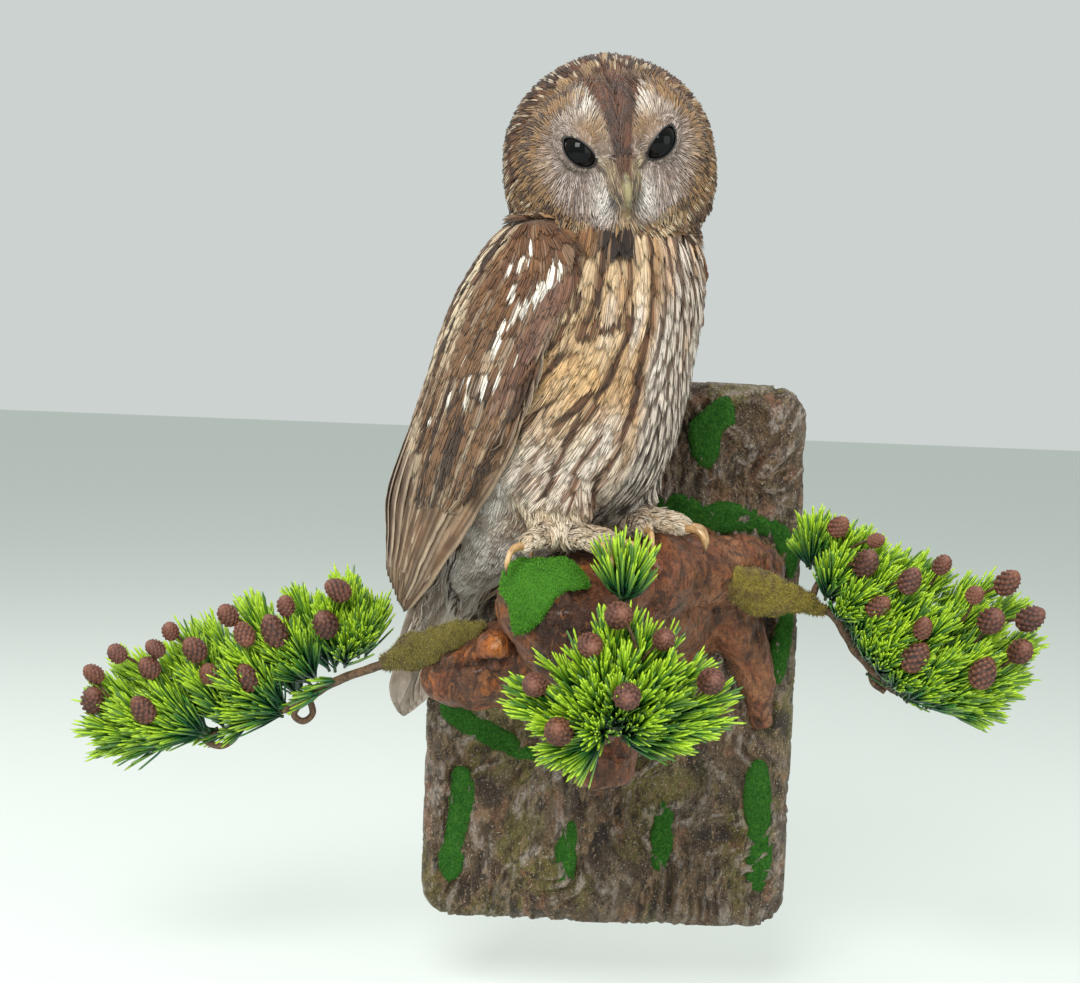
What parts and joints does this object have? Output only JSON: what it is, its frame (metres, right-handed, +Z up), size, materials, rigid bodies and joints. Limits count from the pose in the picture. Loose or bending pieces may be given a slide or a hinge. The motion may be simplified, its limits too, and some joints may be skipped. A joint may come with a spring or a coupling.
{
  "type": "taxidermy tawny owl on a wall plaque",
  "caption": "Life-size taxidermy tawny owl perched on a root, on a bark wall plaque with flock moss and pine sprigs bearing small cones.",
  "frame": {"origin": "centre of the flat back face of the plaque, on the wall plane", "axes": "+Y out of the plaque's back, into the wall; +Z up; +X to the right as seen from the room. The owl stands on the -Y side"},
  "size_m": [0.5615, 0.2329, 0.5046],
  "materials": {
    "eye_glass": "polished near-black glass eye",
    "bill_horn": "satin horn",
    "claw_horn": "semi-gloss dark horn",
    "head_feather": "fine barred grey-brown feathering",
    "body_feather": "buff feathers with dark brown shaft streaks",
    "wing_feather": "rufous-brown feathers with white spots",
    "tail_feather": "grey-brown barred feathers",
    "leg_feather": "short whitish-buff feathering",
    "bark": "rough varnished bark",
    "root_wood": "varnished reddish-brown root",
    "moss_flock": "matte bright green flock",
    "wrap_flock": "matte olive-yellow flock",
    "twig": "satin brown twig",
    "pine": "satin green needles with purple-brown cones"
  },
  "bodies": {
    "root": {"owl_head": "head_feather", "owl_neck": "body_feather", "owl_trunk": "body_feather", "owl_wing_l": "wing_feather", "owl_wing_r": "wing_feather", "owl_tail": "tail_feather", "owl_leg_l": "leg_feather", "owl_leg_r": "leg_feather", "owl_foot_l": "leg_feather", "owl_foot_r": "leg_feather", "owl_eye_l": "eye_glass", "owl_eye_r": "eye_glass", "owl_bill_upper": "bill_horn", "owl_bill_lower": "bill_horn", "plaque": "bark", "perch": "root_wood", "moss_perch": "moss_flock", "wrap_left": "wrap_flock", "wrap_right": "wrap_flock", "stem_left": "twig", "stem_right": "twig", "needles_left": "pine", "needles_right": "pine", "needles_front": "pine", "needles_top": "pine", "owl_claw_l_inner": "claw_horn", "owl_claw_l_middle": "claw_horn", "owl_claw_l_outer": "claw_horn", "owl_claw_l_hind": "claw_horn", "owl_claw_r_inner": "claw_horn", "owl_claw_r_middle": "claw_horn", "owl_claw_r_outer": "claw_horn", "owl_claw_r_hind": "claw_horn", "moss_upper": "moss_flock", "moss_band": "moss_flock", "moss_side": "moss_flock", "moss_lower": "moss_flock", "moss_strip_1": "moss_flock", "moss_strip_2": "moss_flock", "moss_strip_3": "moss_flock", "moss_strip_4": "moss_flock"}
  },
  "joints": []
}
